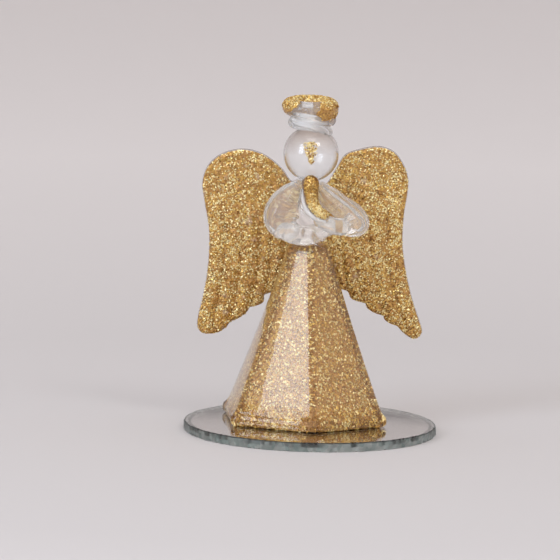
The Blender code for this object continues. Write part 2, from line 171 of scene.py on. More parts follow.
class Finish:
    """A material being made, round its one main shader."""

    def __init__(self, name, colour, roughness, **sockets):
        self.material = bpy.data.materials.new(name)
        self.material.use_nodes = True
        self.tree = self.material.node_tree
        self.shader = self.tree.nodes["Principled BSDF"]
        self.set(Base_Color=(*colour, 1.0), Roughness=roughness, **sockets)

    def set(self, **sockets):
        """Sets or links the main shader's sockets. An underscore stands for a space."""
        for key, value in sockets.items():
            self.plug(self.shader.inputs[key.replace("_", " ")], value)

    def plug(self, socket, value):
        """Links a wire to a socket, or sets the socket to a plain value."""
        if isinstance(value, Wire):
            self.tree.links.new(value.socket, socket)
        else:
            socket.default_value = value

    def add(self, kind, inputs=(), output=0, **settings):
        """Adds any node: its settings first, then its sockets' values or links."""
        node = self.tree.nodes.new(kind)
        for key, value in settings.items():
            setattr(node, key, value)
        for key, value in dict(inputs).items():
            self.plug(node.inputs[key], value)
        return Wire(self, node.outputs[output])

    def maths(self, operation, *values):
        return self.add("ShaderNodeMath", enumerate(values), operation=operation)

    def vector(self, operation, *values, output=0):
        inputs = enumerate(values)
        return self.add("ShaderNodeVectorMath", inputs, output, operation=operation)

    def held(self, value):
        """The value, held between 0 and 1."""
        return self.maths("MAXIMUM", self.maths("MINIMUM", value, 1.0), 0.0)

    def mark(self, name):
        """The value of an attribute that the mesh carries."""
        return self.add("ShaderNodeAttribute", output="Fac", attribute_name=name)

    def place(self):
        """Place on the object, in metres."""
        return self.add("ShaderNodeTexCoord", output="Object")

    def noise(self, size, detail=2.0, roughness=0.5):
        """Cloudy noise from 0 to 1, its blobs about the size given."""
        inputs = {"Vector": self.place(), "Scale": 1 / size, "Detail": detail}
        inputs["Roughness"] = roughness
        return self.add("ShaderNodeTexNoise", inputs)

    def cells(self, size):
        """Random cells about the size given, each with a random colour of its own."""
        inputs = {"Vector": self.place(), "Scale": 1 / size, "Randomness": 1.0}
        return self.add("ShaderNodeTexVoronoi", inputs, "Color")

    def red(self, colour):
        """The red part of a colour, as a value."""
        return self.add("ShaderNodeSeparateColor", {0: colour})

    def mixed(self, share, low, high):
        """Colour between two others, by a share from 0 to 1."""
        low, high = (end if isinstance(end, Wire) else (*end, 1.0) for end in (low, high))
        inputs = {"Factor": share, 6: low, 7: high}
        return self.add("ShaderNodeMix", inputs, 2, data_type="RGBA")

    def toned(self, tone, stops):
        """Colour from a ramp of (place, colour) stops, by a tone from 0 to 1."""
        made = self.add("ShaderNodeValToRGB", {0: tone})
        ramp = made.socket.node.color_ramp.elements
        while len(ramp) < len(stops):
            ramp.new(1.0)
        for stop, (place, colour) in zip(ramp, stops):
            stop.position = place
            stop.color = (*colour, 1.0)
        return made

    def bump(self, height, depth, strength=1.0):
        """Normal of a surface raised by a height from 0 to 1 times a depth in metres."""
        inputs = {"Height": height, "Distance": depth, "Strength": strength}
        return self.add("ShaderNodeBump", inputs)

    def light_through(self, tint):
        """Lets lamps shine through: shadow rays meet a clear, slightly tinted pane."""
        pane = self.add("ShaderNodeBsdfTransparent", {"Color": (*tint, 1.0)})
        shadow = self.add("ShaderNodeLightPath", output="Is Shadow Ray")
        body = Wire(self, self.shader.outputs[0])
        mixed = self.add("ShaderNodeMixShader", {0: shadow, 1: body, 2: pane})
        output = self.tree.nodes["Material Output"]
        self.tree.links.new(mixed.socket, output.inputs["Surface"])


def mirror_glass_finish(radius):
    """Float glass: smooth and clear on top, and ground at the edge, where light that has
    come a long way through the glass is deep green."""
    finish = Finish("mirror_float_glass", FLOAT_GLASS, 0.0)
    finish.set(Transmission_Weight=1.0, IOR=1.52)
    level = finish.vector("MULTIPLY", finish.place(), (1, 1, 0))
    reach = finish.vector("LENGTH", level, output="Value")
    edge = finish.held((reach - (radius - 0.42 * MM)) * (1 / (0.2 * MM)))
    facet = finish.red(finish.cells(1.1 * MM))
    ground = finish.mixed(facet, GROUND_DEEP, GROUND_PALE)
    finish.set(Base_Color=finish.mixed(edge, FLOAT_GLASS, ground), Roughness=0.4 * edge)
    return finish


def settle(made, node, finish):
    """Gives a piece its finish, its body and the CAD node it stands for."""
    made.data.materials.append(finish.material)
    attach(made, "root")
    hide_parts(node)


def mirror_profile(radius):
    """Radii and heights from the middle of the underside round to the middle of the top,
    with a quarter-round at each rim."""
    turn = np.linspace(0, math.pi / 2, 7)
    corner = radius - MIRROR_RIM + MIRROR_RIM * np.sin(turn)
    rise = MIRROR_RIM - MIRROR_RIM * np.cos(turn)
    near_edge = radius - np.array([1.3, 0.8, 0.5, 0.35]) * MM
    flat = np.append(np.linspace(0, radius - 2 * MM, 5), near_edge)
    low, high = MIRROR_LIFT, mirror_high[2]
    side = np.linspace(low + MIRROR_RIM, high - MIRROR_RIM, 9)[1:-1]
    reach = [flat, corner, np.full(len(side), radius), corner[::-1], flat[::-1]]
    height = [np.full(len(flat), low), low + rise, side]
    height += [high - rise[::-1], np.full(len(flat), high)]
    return np.concatenate(reach), np.concatenate(height)


def mirror_glass():
    """A turned disc. Its edge waves by two sines, and has chips: round bites out of the lower
    or the upper rim, each a bell along the edge that fades with the height from its rim."""
    draw = np.random.default_rng(11)
    radius = (mirror_high[0] - mirror_low[0]) / 2
    reach, height = mirror_profile(radius)
    grid = turned(reach, height, MIRROR_COLUMNS)
    around = turns(MIRROR_COLUMNS)
    edge = np.clip((reach - radius + MIRROR_CHIP_REACH) / MIRROR_CHIP_REACH, 0, 1)[:, None]
    bite = np.zeros(grid.shape[:2])
    for _ in range(MIRROR_CHIPS):
        middle = draw.uniform(0, 2 * math.pi)
        width = draw.uniform(0.010, 0.032)
        deep = MIRROR_CHIP_DEPTH * draw.uniform(0.25, 1.0)
        rim_height = draw.choice([MIRROR_LIFT, mirror_high[2]], p=[0.4, 0.6])
        away = (around - middle + math.pi) % (2 * math.pi) - math.pi
        bell = np.clip(1 - (away / width) ** 2, 0, 1)
        level = np.clip(1 - np.abs(height - rim_height) / (1.1 * MM), 0, 1)
        bite = np.maximum(bite, deep * level[:, None] * bell[None, :])
    wave = 0.05 * MM * (np.sin(23 * around) + np.sin(41 * around + 1.3))
    moved = radius - (bite + wave[None, :]) * edge
    grid[..., :2] *= (moved / radius)[..., None]
    made = skin("mirror_glass", grid)
    settle(made, "mirror_disc", mirror_glass_finish(radius))


mirror_glass()


# Silvering on the back of the mirror: a bright metal film. The thin grey-brown lacquer
# that protects it is not built.

backing_low, backing_high = box("mirror_backing")
SILVER_THICK = 0.1 * MM
SILVER_PROFILE = ((0, 0), (0.5, 0), (0.97, 0), (1, 0.25), (1, 0.75), (0.97, 1), (0.5, 1), (0, 1))


def silver_finish():
    """Bright silver, dulled by specks and a little blotching towards the rim."""
    finish = Finish("silvering", (0.86, 0.85, 0.84), 0.02, Metallic=1.0)
    blotch = finish.noise(7 * MM, 4.0)
    finish.set(Base_Color=finish.mixed(blotch, (0.86, 0.83, 0.81), (0.93, 0.90, 0.88)))
    finish.set(Roughness=0.015 + 0.02 * finish.noise(1.2 * MM, 3.0))
    return finish


def mirror_back():
    """A turned disc, from a profile in shares of its radius and its thickness."""
    radius = (backing_high[0] - backing_low[0]) / 2 - 0.5 * MM
    profile = np.array(SILVER_PROFILE) * [radius, SILVER_THICK]
    made = skin("mirror_silvering", turned(profile[:, 0], profile[:, 1], 180))
    settle(made, "mirror_backing", silver_finish())


mirror_back()


# Skirt: clear glass blown into a six-sided mould, open below, its hem rolled over into a
# thick bead that stands on the mirror.

skirt_top = box("skirt_shell")[1][2]
head_low, head_high = box("head")
AXIS = (head_low + head_high)[:2] / 2
SKIRT_TURN = math.radians(6)
SKIRT_TOP_RADIUS = 5.4 * MM
SKIRT_HEM_RADIUS = 19.3 * MM
SKIRT_HEM_RISE = 5.35 * MM
SKIRT_FLARE = 1.12
SKIRT_CROWN = 1.5 * MM
SKIRT_WALL = 1.6 * MM
SKIRT_ROUNDING = 2.1 * MM
SKIRT_BULGE = 0.35 * MM
SKIRT_TINT = (0.98, 0.93, 0.85)
SKIRT_SHEEN = 0.5
HEM_FOOT = mirror_high[2] + 0.02 * MM
HEM_HEIGHT = 3.9 * MM
HEM_TOP = HEM_FOOT + 3.7 * MM
HEM_BEAD = ((0, 0), (0.25, -0.7), (0.65, -1.35), (0.9, -2.2), (0.75, -3.1), (0.1, -3.67))
HEM_INSIDE = ((-0.3, -5.9), (-1.0, -5.3), (-1.4, -4.0), (-1.6, -2.4))
HEM_INSIDE_ROWS = 14
HEM_LUMPS = 4.0
HEM_SWELL = 0.8 * MM
HEM_PINCH = 0.9 * MM
CORNER_STEPS = 8
SIDE_STEPS = 14
PANEL_COLUMNS = CORNER_STEPS + 1 + SIDE_STEPS
COS30 = math.cos(math.radians(30))
GLASS_SHADE = (0.96, 0.95, 0.94)


def unit(vectors):
    return vectors / np.maximum(np.linalg.norm(vectors, axis=-1, keepdims=True), 1e-12)


def smooth(points, count):
    """Catmull-Rom curve through a list of points, sampled evenly count times."""
    points = np.asarray(points, float)
    ends = 2 * points[0] - points[1], 2 * points[-1] - points[-2]
    held = np.vstack([ends[0], points, ends[1]])
    at = np.linspace(0, len(points) - 1, count)
    leg = np.minimum(at.astype(int), len(points) - 2)
    t = (at - leg)[:, None]
    a, b, c, d = (held[leg + step] for step in range(4))
    curve = 2 * b + (c - a) * t + (2 * a - 5 * b + 4 * c - d) * t**2
    return 0.5 * (curve + (3 * b - a - 3 * c + d) * t**3)


def hexagons(corner, height, bulge=SKIRT_BULGE):
    """Grid of level hexagons with rounded corners and slightly bowed sides, one to a row. A
    point is the corner's centre line, plus the rounding along the arc's direction, plus the
    bow along the side's outward direction. The first corner is the front one."""
    corner = np.asarray(corner)[:, None, None]
    rounding = np.minimum(SKIRT_ROUNDING, 0.5 * corner)
    swing = np.radians(np.linspace(-30, 30, CORNER_STEPS + 1))
    share = np.linspace(0, 1, SIDE_STEPS + 2)[1:-1]
    middle, out, bow = [], [], []
    for index in range(6):
        start = math.radians(60 * index - 90) + SKIRT_TURN
        ends = pointing(start + np.radians([0, 60]))
        middle.append(np.repeat(ends[:1], CORNER_STEPS + 1, axis=0))
        middle.append(np.outer(1 - share, ends[0]) + np.outer(share, ends[1]))
        out.append(pointing(start + swing))
        out.append(pointing(np.full(SIDE_STEPS, start + math.radians(30))))
        bow.append(np.concatenate([np.zeros(CORNER_STEPS + 1), 1 - (2 * share - 1) ** 2]))
    middle, out, bow = np.vstack(middle), np.vstack(out), np.concatenate(bow)
    full = np.clip(corner / SKIRT_HEM_RADIUS, 0, 1)
    flat = (corner - rounding / COS30) * middle + (rounding + bulge * full * bow[:, None]) * out
    grid = np.empty((*flat.shape[:2], 3))
    grid[..., :2] = AXIS + flat
    grid[..., 2] = np.asarray(height)[:, None]
    return grid


def skirt_corner(z):
    """Corner radius of the skirt's outer face at a height."""
    drop = np.maximum((skirt_top - z) / (skirt_top - HEM_FOOT - SKIRT_HEM_RISE), 0)
    return SKIRT_TOP_RADIUS + (SKIRT_HEM_RADIUS - SKIRT_TOP_RADIUS) * drop**SKIRT_FLARE


def skirt_outside():
    """Corner radii and heights down the outside: crown, long flared face, and half-way round
    the hem bead."""
    crown = pointing(np.linspace(math.pi / 2, 0, 10)[:-1]) * [SKIRT_TOP_RADIUS, SKIRT_CROWN]
    crown[:, 1] += skirt_top - SKIRT_CROWN
    z = np.linspace(skirt_top - SKIRT_CROWN, HEM_TOP, 60)
    face = np.stack([skirt_corner(z), z], axis=1)
    hem = smooth(np.array(HEM_BEAD) * MM + face[-1], 26)[1:]
    return np.vstack([crown, face, hem])


def skirt_inside(depth, hem=HEM_INSIDE):
    """Corner radii and heights up the inside, a depth behind the outer face: a curve inside
    the hem, given in millimetres, then the wall and the closed top."""
    hem = np.array(hem) * MM
    hem += [SKIRT_HEM_RADIUS + (SKIRT_WALL - depth) / COS30, HEM_FOOT + 5.95 * MM]
    top = skirt_top - SKIRT_CROWN - depth
    z = np.linspace(HEM_FOOT + SKIRT_HEM_RISE, top, 50)
    wall = np.stack([skirt_corner(z) - depth / COS30, z], axis=1)
    cap = pointing(np.linspace(0, math.pi / 2, 8)[1:]) * [wall[-1, 0], 0.7 * MM] + [0, top]
    return np.vstack([smooth(hem, HEM_INSIDE_ROWS)[:-1], wall, cap])


def corner_bell(place, width):
    """Bell curve of the distance to the nearest corner's line, and whether that corner is
    the front one."""
    out = place[..., :2] - AXIS
    sixth = math.pi / 3
    turn = np.arctan2(out[..., 1], out[..., 0]) - SKIRT_TURN + math.pi / 2
    swing = (turn + sixth / 2) % sixth - sixth / 2
    aside = np.hypot(out[..., 0], out[..., 1]) * np.abs(np.sin(swing))
    return np.exp(-((aside / width) ** 2)), np.cos(turn) > 0.86


def at_hem(place, height=HEM_HEIGHT):
    """1 round the hem bead, fading to 0 at a height above its foot."""
    return np.clip((HEM_FOOT + height - place[..., 2]) / (1.6 * MM), 0, 1)


def glass_finish(name, clear=1.0, ripple=0.06 * MM, rough=0.0, tint=(1, 1, 1)):
    """Fire-polished glass, with the faint ripple that a flame leaves. Less clear glass is
    milky with seed bubbles, and rough glass blurs what lies behind."""
    finish = Finish(name, tint, rough, Transmission_Weight=clear, IOR=1.47)
    finish.set(Normal=finish.bump(finish.noise(2.6 * MM, 1.0), ripple, 0.5))
    finish.light_through(GLASS_SHADE)
    return finish


def skirt_finish():
    """Moulded glass, tinted by the varnish behind it, with a soft sheen on its faces. Where
    the hem was melted again it is lumpy instead and has no sheen."""
    finish = Finish("skirt_clear_glass", SKIRT_TINT, 0.0, Transmission_Weight=1.0, IOR=1.47)
    melted = finish.mark("melted")
    finish.set(Coat_Weight=SKIRT_SHEEN - SKIRT_SHEEN * melted, Coat_Roughness=0.27)
    lumps = finish.noise(2.6 * MM, 1.0) + melted * finish.noise(1.2 * MM, 1.0) * HEM_LUMPS
    finish.set(Normal=finish.bump(lumps, 0.02 * MM, 0.5))
    finish.light_through(GLASS_SHADE)
    return finish


def skirt_glass():
    """The whole shell. The hem bead swells at its corners, but is pinched in at the front
    one."""
    outer = skirt_outside()
    profile = np.vstack([outer, skirt_inside(SKIRT_WALL)])
    grid = hexagons(profile[:, 0], profile[:, 1])
    outside = grid[: len(outer)]
    near, front = corner_bell(outside, 1.7 * MM)
    swell = np.where(front, -HEM_PINCH, HEM_SWELL) * near * at_hem(outside)
    outside[..., :2] += swell[..., None] * unit(outside[..., :2] - AXIS)
    made = skin("skirt_glass", grid, melted=at_hem(grid, 5.9 * MM))
    settle(made, "skirt_shell", skirt_finish())


skirt_glass()


# Glitter lining: gold flakes in amber varnish, poured round the inside of the skirt, so that
# it sits hard against the glass. It is darker in the corners, at the crown and round the hem.

LINING_DEPTH = SKIRT_WALL - 0.06 * MM
LINING_THICK = 0.45 * MM
LINING_HEM = ((0.6, -5.75), (0.6, -4.5), (0.0, -3.2), (-1.2, -1.8))
LINING_FLAKES = 9800
SEAM_FLAKES = 950
HEM_FLAKES = 1900
KEEL = 0.04 * MM
DEEP_GOLD = (0.36, 0.17, 0.035)
BROWN_GOLD = (0.52, 0.28, 0.10)
AMBER = (0.64, 0.36, 0.09)
BRIGHT_GOLD = (0.95, 0.67, 0.19)
# Pale gold: partly the foil's own colour, partly a painted glint.
PALE_GOLD_AND_GLINT = (1.0, 0.86, 0.46)
BARE_DARK = (0.50, 0.35, 0.25)
BARE_PALE = (0.74, 0.60, 0.46)


def varnish_finish(name, grain=0.36 * MM, tilt=0.5, thin_spots=0.0, metal=0.7):
    """Fine glitter in amber varnish: every Voronoi cell is one grain, with a facing and a
    tone of its own. It is darker by a mark that the mesh carries, and thin spots let the
    glass show greyish pink."""
    finish = Finish(name, AMBER, 0.3, Metallic=metal, Coat_Weight=0.2, Coat_Roughness=0.15)
    facet = finish.cells(grain)
    own = finish.red(facet)
    cloud = finish.noise(4 * MM, 3.0)
    tone = own * 0.7 + cloud * 0.5 - 0.16 - 0.45 * finish.mark("pooled")
    stops = [(0.0, DEEP_GOLD), (0.3, BROWN_GOLD), (0.6, AMBER), (1.0, BRIGHT_GOLD)]
    colour = finish.toned(tone, stops)
    if thin_spots:
        bare = finish.held((finish.noise(3.2 * MM, 1.5) - (1 - thin_spots)) * 9.0)
        colour = finish.mixed(bare * 0.75, colour, finish.mixed(own, BARE_DARK, BARE_PALE))
    centred = finish.vector("SUBTRACT", facet, (0.5, 0.5, 0.5))
    inputs = {0: centred, 3: 2 * tilt}
    swing = finish.add("ShaderNodeVectorMath", inputs, operation="SCALE")
    upright = finish.add("ShaderNodeNewGeometry", output="Normal")
    facing = finish.vector("NORMALIZE", finish.vector("ADD", upright, swing))
    finish.set(Base_Color=colour, Normal=facing, Roughness=0.25 + 0.25 * cloud)
    return finish


def flake_finish(name, metal):
    """Cut foil flakes. Each carries a tone that runs from deep gold to pale champagne; the
    palest are partly the foil's own and partly painted glints, standing in for sparkle."""
    finish = Finish(name, BRIGHT_GOLD, 0.35, Metallic=metal)
    tone = finish.mark("tone")
    # The palest stop is partly a painted glint.
    stops = [(0.0, DEEP_GOLD), (0.28, AMBER), (0.6, BRIGHT_GOLD), (0.85, PALE_GOLD_AND_GLINT)]
    finish.set(Base_Color=finish.toned(tone, stops), Roughness=0.3 + 0.12 * tone)
    return finish


def scatter(grid, count, draw, around=True, chosen=None):
    """Random points on a grid's surface, spread evenly by area, with the outward direction
    and the row and column each fell in. A quad's point is a blend of its four corners, and
    chosen weighs the quads."""
    if around:
        grid = np.concatenate([grid, grid[:, :1]], axis=1)
    a, b, c, d = grid[:-1, :-1], grid[:-1, 1:], grid[1:, 1:], grid[1:, :-1]
    across = np.cross(c - a, d - b)
    area = np.linalg.norm(across, axis=-1)
    if chosen is not None:
        area = area * chosen[: area.shape[0], : area.shape[1]]
    area = area.ravel()
    quad = draw.choice(len(area), count, p=area / area.sum())
    row, column = np.unravel_index(quad, across.shape[:2])
    u, v = draw.random((2, count, 1))
    low = a[row, column] * (1 - u) + b[row, column] * u
    high = d[row, column] * (1 - u) + c[row, column] * u
    return low * (1 - v) + high * v, unit(across[row, column]), row, column


def outwards(facing, away):
    """Each facing, turned round where it points against the way outwards."""
    return facing * np.sign(np.sum(facing * away, axis=1))[:, None]


def flakes(name, node, draw, points, facing, size, tilt, lift, darker, sides=6, metal=0.85):
    """Loose flakes lying on a surface: flat regular plates with a very shallow keel below, so
    that each is a closed shape. The direction each faces is leaned by a random tangent times
    tilt, and each is lifted off the surface by a random share of lift."""
    count = len(points)
    lean = draw.normal(0, tilt, (count, 3))
    facing = unit(facing + lean - facing * np.sum(lean * facing, axis=1, keepdims=True))
    start = unit(np.cross(facing, draw.normal(0, 1, (count, 3))))
    other = np.cross(facing, start)
    turn = turns(sides)[None, :, None]
    spread = size / 2 * draw.uniform(0.7, 1.15, (count, 1, 1))
    ring = np.cos(turn) * start[:, None] + np.sin(turn) * other[:, None]
    middle = points + facing * lift * draw.random((count, 1))
    corners = middle[:, None] + spread * ring
    keel = middle - facing * KEEL
    body = np.concatenate([corners, keel[:, None]], axis=1).reshape(-1, 3)
    base = np.arange(count)[:, None] * (sides + 1)
    top = (base + np.arange(sides)).tolist()
    near = np.arange(sides)
    under = np.stack([(near + 1) % sides, near, np.full(sides, sides)], axis=1)
    under = (base[:, :, None] + under[None]).reshape(-1, 3).tolist()
    made = piece(name, body, top + under)
    made.data.shade_flat()
    carry(made, "tone", np.repeat(np.clip(draw.random(count) - darker, 0, 1), sides + 1))
    settle(made, node, flake_finish(f"{name}_foil", metal))


def pooled(place):
    """How much darker the varnish is at each place, from 0 to 1: a bell curve of the distance
    to the nearest corner's line, and ramps at the crown and the hem."""
    crown = np.clip((place[..., 2] - skirt_top + 4 * MM) / (3 * MM), 0, 1)
    wide, front = corner_bell(place, 2.2 * MM)
    hem = at_hem(place) * np.where(front, wide, 0.65)
    return np.max([corner_bell(place, 0.75 * MM)[0], crown, hem], axis=0)


def skirt_glitter():
    """The lining is a thin shell a hair inside the glass. Flakes lie on its outer face, with
    coarser ones down the six corners and round the hem, all but its front corner."""
    draw = np.random.default_rng(21)
    outer = skirt_inside(LINING_DEPTH, LINING_HEM)
    inner = skirt_inside(LINING_DEPTH + LINING_THICK, LINING_HEM)
    profile = np.vstack([outer[::-1], inner])
    grid = hexagons(profile[:, 0], profile[:, 1])
    lining = skin("skirt_glitter_lining", grid, pooled=pooled(grid))
    settle(lining, "skirt_lining", varnish_finish("lining_varnish", metal=0.35))
    face = hexagons(outer[:, 0], outer[:, 1])
    column = np.arange(face.shape[1])
    ridge = np.abs(column % PANEL_COLUMNS + 0.5 - CORNER_STEPS / 2) < 2
    front = (column < 11) | (column > len(column) - 4)
    low = np.arange(face.shape[0]) < HEM_INSIDE_ROWS - 1
    # Each: name, weight of each quad, count, size in mm, tilt, darker, extra darkness by mark,
    # metal.
    every = np.ones(face.shape[:2])
    parts = (
        ("skirt_glitter_flakes", every, LINING_FLAKES, 0.66, 0.5, -0.4, 0.9, 0.55),
        ("skirt_seam_flakes", np.outer(~low, ridge), SEAM_FLAKES, 0.62, 0.35, -0.5, 0.0, 0.5),
        ("skirt_hem_flakes", np.outer(low, ~front), HEM_FLAKES, 0.88, 0.5, -0.02, 0.0, 0.65),
    )
    for name, chosen, count, size, tilt, darker, extra_dark, metal in parts:
        points, facing, _, _ = scatter(face, count, draw, chosen=chosen)
        facing = outwards(facing, (points - [*AXIS, 0]) * [1, 1, 0])
        plate = size * MM, tilt, 0.05 * MM, darker + extra_dark * pooled(points), 4, metal
        flakes(name, "skirt_lining", draw, points, facing, *plate)


skirt_glitter()


# Clear glue: a bead of hot glue, run round the inside corner between hem and mirror, which
# holds the figure on its base.

GLUE_SECTION = ((0, 0), (-0.9, 0.15), (-1.6, 0.0), (-1.2, 0.7), (-0.3, 1.25), (0.0, 0.6))


def glue_finish(name):
    """Clear hot glue, faintly yellow, with a soft skin."""
    finish = Finish(name, (0.93, 0.87, 0.77), 0.12, Transmission_Weight=0.6, IOR=1.48)
    finish.set(Normal=finish.bump(finish.noise(0.9 * MM, 2.0), 0.1 * MM, 0.4))
    finish.light_through((0.9, 0.88, 0.84))
    return finish


def glue_ring():
    """A rounded triangle carried round the hexagon."""
    outer = SKIRT_HEM_RADIUS - 1.7 * MM
    section = smooth(np.array([*GLUE_SECTION, GLUE_SECTION[0]]) * MM, 24)[:-1]
    low = mirror_high[2] + 0.03 * MM - section[:, 1].min()
    grid = hexagons(outer + section[:, 0], low + section[:, 1], 0)
    ring = skin("hem_glue", grid, looped=True)
    settle(ring, "base_adhesive", glue_finish("hem_glue_clear"))


glue_ring()


# Bodice: solid clear glass pulled up from the skirt's crown, waisted and drawn in to the
# neck. It is worked hot, so it is never quite round.

torso_low, torso_high = box("torso")
BODICE_COLUMNS = 64


def bodice():
    """Turned profile, in shares of the bodice's radius and height, times five shallow lobes:
    1 + depth * cos(5 * turn + 9 * height)."""
    tall = torso_high[2] - torso_low[2]
    wide = (torso_high[0] - torso_low[0]) / 2
    rows = [(0, -0.02), (0.7, -0.02), (1.0, 0.0), (1.02, 0.08), (0.98, 0.2), (1.0, 0.36)]
    rows += [(0.95, 0.5), (0.78, 0.64), (0.58, 0.76), (0.5, 0.86), (0.44, 0.95), (0.5, 1.03)]
    rows += [(0, 1.03)]
    profile = np.vstack([rows[0], smooth(rows[1:-1], 60), rows[-1]])
    reach, height = profile[:, 0] * wide, torso_low[2] + profile[:, 1] * tall
    grid = turned(reach, height, BODICE_COLUMNS, AXIS)
    lobe = 1 + 0.09 * np.cos(5 * turns(BODICE_COLUMNS) + 9 * profile[:, 1:2])
    grid[..., :2] = AXIS + (grid[..., :2] - AXIS) * lobe[..., None]
    finish = glass_finish("bodice_clear_glass", 0.95, rough=0.08, tint=(0.99, 0.95, 0.91))
    settle(skin("bodice", grid), "torso", finish)


bodice()


# Arms: each is a thick glass rod, puffed out to a sleeve above the elbow and bent in to the
# hands. The flame leaves long shallow flutes that wind along the rod.

RIGHT_SLEEVE = (
    (-2.9, 0.2, 58.3, 1.6), (-4.5, -0.1, 56.3, 2.9), (-6.0, -0.6, 53.5, 4.0),
    (-6.6, -1.4, 50.8, 4.3), (-6.0, -2.4, 48.9, 3.5), (-4.6, -3.0, 48.2, 2.6),
)
LEFT_SLEEVE = (
    (2.6, -1.4, 58.0, 1.7), (4.2, -1.4, 56.3, 2.5), (6.9, -1.1, 54.2, 2.6),
    (9.7, -1.5, 52.0, 3.0), (11.1, -2.2, 50.1, 3.0), (9.9, -2.9, 49.3, 2.4),
)
RIGHT_FOREARM = (
    (-5.9, -3.5, 47.9, 1.9), (-3.4, -4.7, 47.6, 2.3), (-0.4, -5.1, 47.5, 2.3),
    (2.4, -5.0, 48.0, 2.0), (4.7, -4.7, 48.8, 1.6),
)
LEFT_FOREARM = (
    (7.7, -4.6, 49.5, 2.0), (6.0, -5.3, 49.7, 1.95), (4.2, -5.6, 50.3, 1.9),
    (2.6, -5.6, 51.0, 1.7),
)
TIP_ROWS = 8


def rod(stations, rows, columns, flutes=0, flute_depth=0.0, wind=0.0):
    """Round rod along a smooth path of (x, y, z, radius) in millimetres from the figure's
    axis at the table, with half-ball ends. Its section is a circle times
    1 + depth * cos(flutes * turn + wind * way along)."""
    path = smooth(stations, rows) * MM
    path[:, :2] += AXIS
    centre, size = path[:, :3], path[:, 3]
    along = unit(np.gradient(centre, axis=0))
    turn = np.linspace(0, math.pi / 2, TIP_ROWS + 1)
    tip, swell = np.cos(turn)[:, None], np.sin(turn)
    start = centre[0] - along[0] * size[0] * tip
    finish = centre[-1] + along[-1] * size[-1] * tip
    centre = np.vstack([start[:-1], centre, finish[::-1][1:]])
    size = np.concatenate([size[0] * swell[:-1], size, size[-1] * swell[::-1][1:]])
    ends = np.repeat(along[:1], TIP_ROWS, axis=0), np.repeat(along[-1:], TIP_ROWS, axis=0)
    along = np.vstack([ends[0], along, ends[1]])
    across = unit(np.cross(along, [0, 1, 0]))
    front = np.cross(across, along)
    turn = turns(columns)[None, :, None]
    ring = np.cos(turn) * across[:, None] + np.sin(turn) * front[:, None]
    way = np.linspace(0, 1, len(centre))[:, None, None]
    flute = 1 + flute_depth * np.cos(flutes * turn + wind * way)
    return centre[:, None] + size[:, None, None] * flute * ring


def arms():
    """Four fluted rods of one glass. Each: node, stations, rows, flutes, their depth, wind."""
    finish = glass_finish("arm_clear_glass", 0.86, 0.1 * MM, 0.14, (0.99, 0.96, 0.93))
    makes = (
        ("right_sleeve", RIGHT_SLEEVE, 90, 4, 0.05, 3.0),
        ("left_sleeve", LEFT_SLEEVE, 90, 8, 0.07, 1.5),
        ("right_forearm", RIGHT_FOREARM, 70, 3, 0.13, 7.0),
        ("left_forearm", LEFT_FOREARM, 60, 4, 0.05, 3.0),
    )
    for node, stations, rows, flutes, deep, wind in makes:
        made = skin(f"{node}_glass", rod(stations, rows, 64, flutes, deep, wind))
        settle(made, node, finish)


arms()


# Praying hands: one short glass rod with a melted top, raised to the chin and bent across
# the chest. Its front is gilded with glitter, and a clear line shows along its right side.

HANDS = (
    (-0.1, -5.1, 59.6, 2.0), (0.0, -5.2, 57.6, 1.75), (0.6, -5.5, 55.0, 1.45),
    (1.9, -5.9, 53.2, 1.3), (3.3, -6.2, 52.3, 1.15),
)
HANDS_RIM = (
    (-1.6, -5.2, 58.2, 0.25), (-1.7, -5.7, 56.2, 0.45), (-0.9, -6.0, 53.6, 0.55),
    (1.2, -6.4, 51.7, 0.55), (3.6, -6.4, 50.7, 0.45),
)
HANDS_COLUMNS = 48
HANDS_COAT = (-18, 19)
HANDS_FLAKES = 2000


def half_coat(name, grid, start, end, outside, inside):
    """Closed crescent of varnish over part of a rod: columns from start to end, out from
    each row's centre by one factor and back by another."""
    middle = grid.mean(axis=1, keepdims=True)
    columns = np.arange(start, end + 1) % grid.shape[1]
    part = grid[:, columns] - middle
    fade = np.sin(np.linspace(0, math.pi, len(columns)))[None, :, None] ** 0.5
    outer = middle + part * (1 + (outside - 1) * fade)
    inner = middle + part[:, ::-1] * (1 + (inside - 1) * fade)
    return skin(name, np.concatenate([outer, inner[:, 1:-1]], axis=1))


def hands():
    """The glass rod, and over it a crescent of varnish and flakes that covers all of it but
    a strip down its right side."""
    draw = np.random.default_rng(31)
    grid = rod(HANDS, 70, HANDS_COLUMNS)
    made = skin("hands_glass", grid)
    settle(made, "praying_hands", glass_finish("hands_clear_glass", 0.9))
    rim = skin("hands_clear_rim", rod(HANDS_RIM, 60, 24))
    settle(rim, "praying_hands", glass_finish("hands_rim_glass", 0.7))
    coat = half_coat("hands_varnish", grid, *HANDS_COAT, 1.03, 0.7)
    settle(coat, "hands_glitter", varnish_finish("hands_varnish_gold", tilt=0.25))
    chosen = np.zeros((len(grid), HANDS_COLUMNS), bool)
    chosen[:, np.arange(*HANDS_COAT) % HANDS_COLUMNS] = True
    points, facing, row, _ = scatter(grid, HANDS_FLAKES, draw, chosen=chosen)
    facing = outwards(facing, points - grid.mean(axis=1)[row])
    points = points + facing * 0.05 * MM
    darker = np.interp(row / len(grid), [0.2, 0.6], [0.25, -0.4])
    plate = 0.36 * MM, 0.4, 0.12 * MM, darker
    flakes("hands_flakes", "hands_glitter", draw, points, facing, *plate)


hands()


# Head: a thin ball of clear glass, blown on the neck, with a dab of glitter on its front. It
# has no face.

HEAD = (head_low + head_high) / 2
HEAD_RADIUS = (head_high[2] - head_low[2]) / 2 + 0.2 * MM
HEAD_WALL = 0.4 * MM
CLEAR = (1.0, 1.0, 1.0)
# Painted reflection: the gold scene below, which the ball shows upside down at its crown.
CROWN_PAINTED_REFLECTION = (0.84, 0.76, 0.70)
DAB_FLAKES = 370


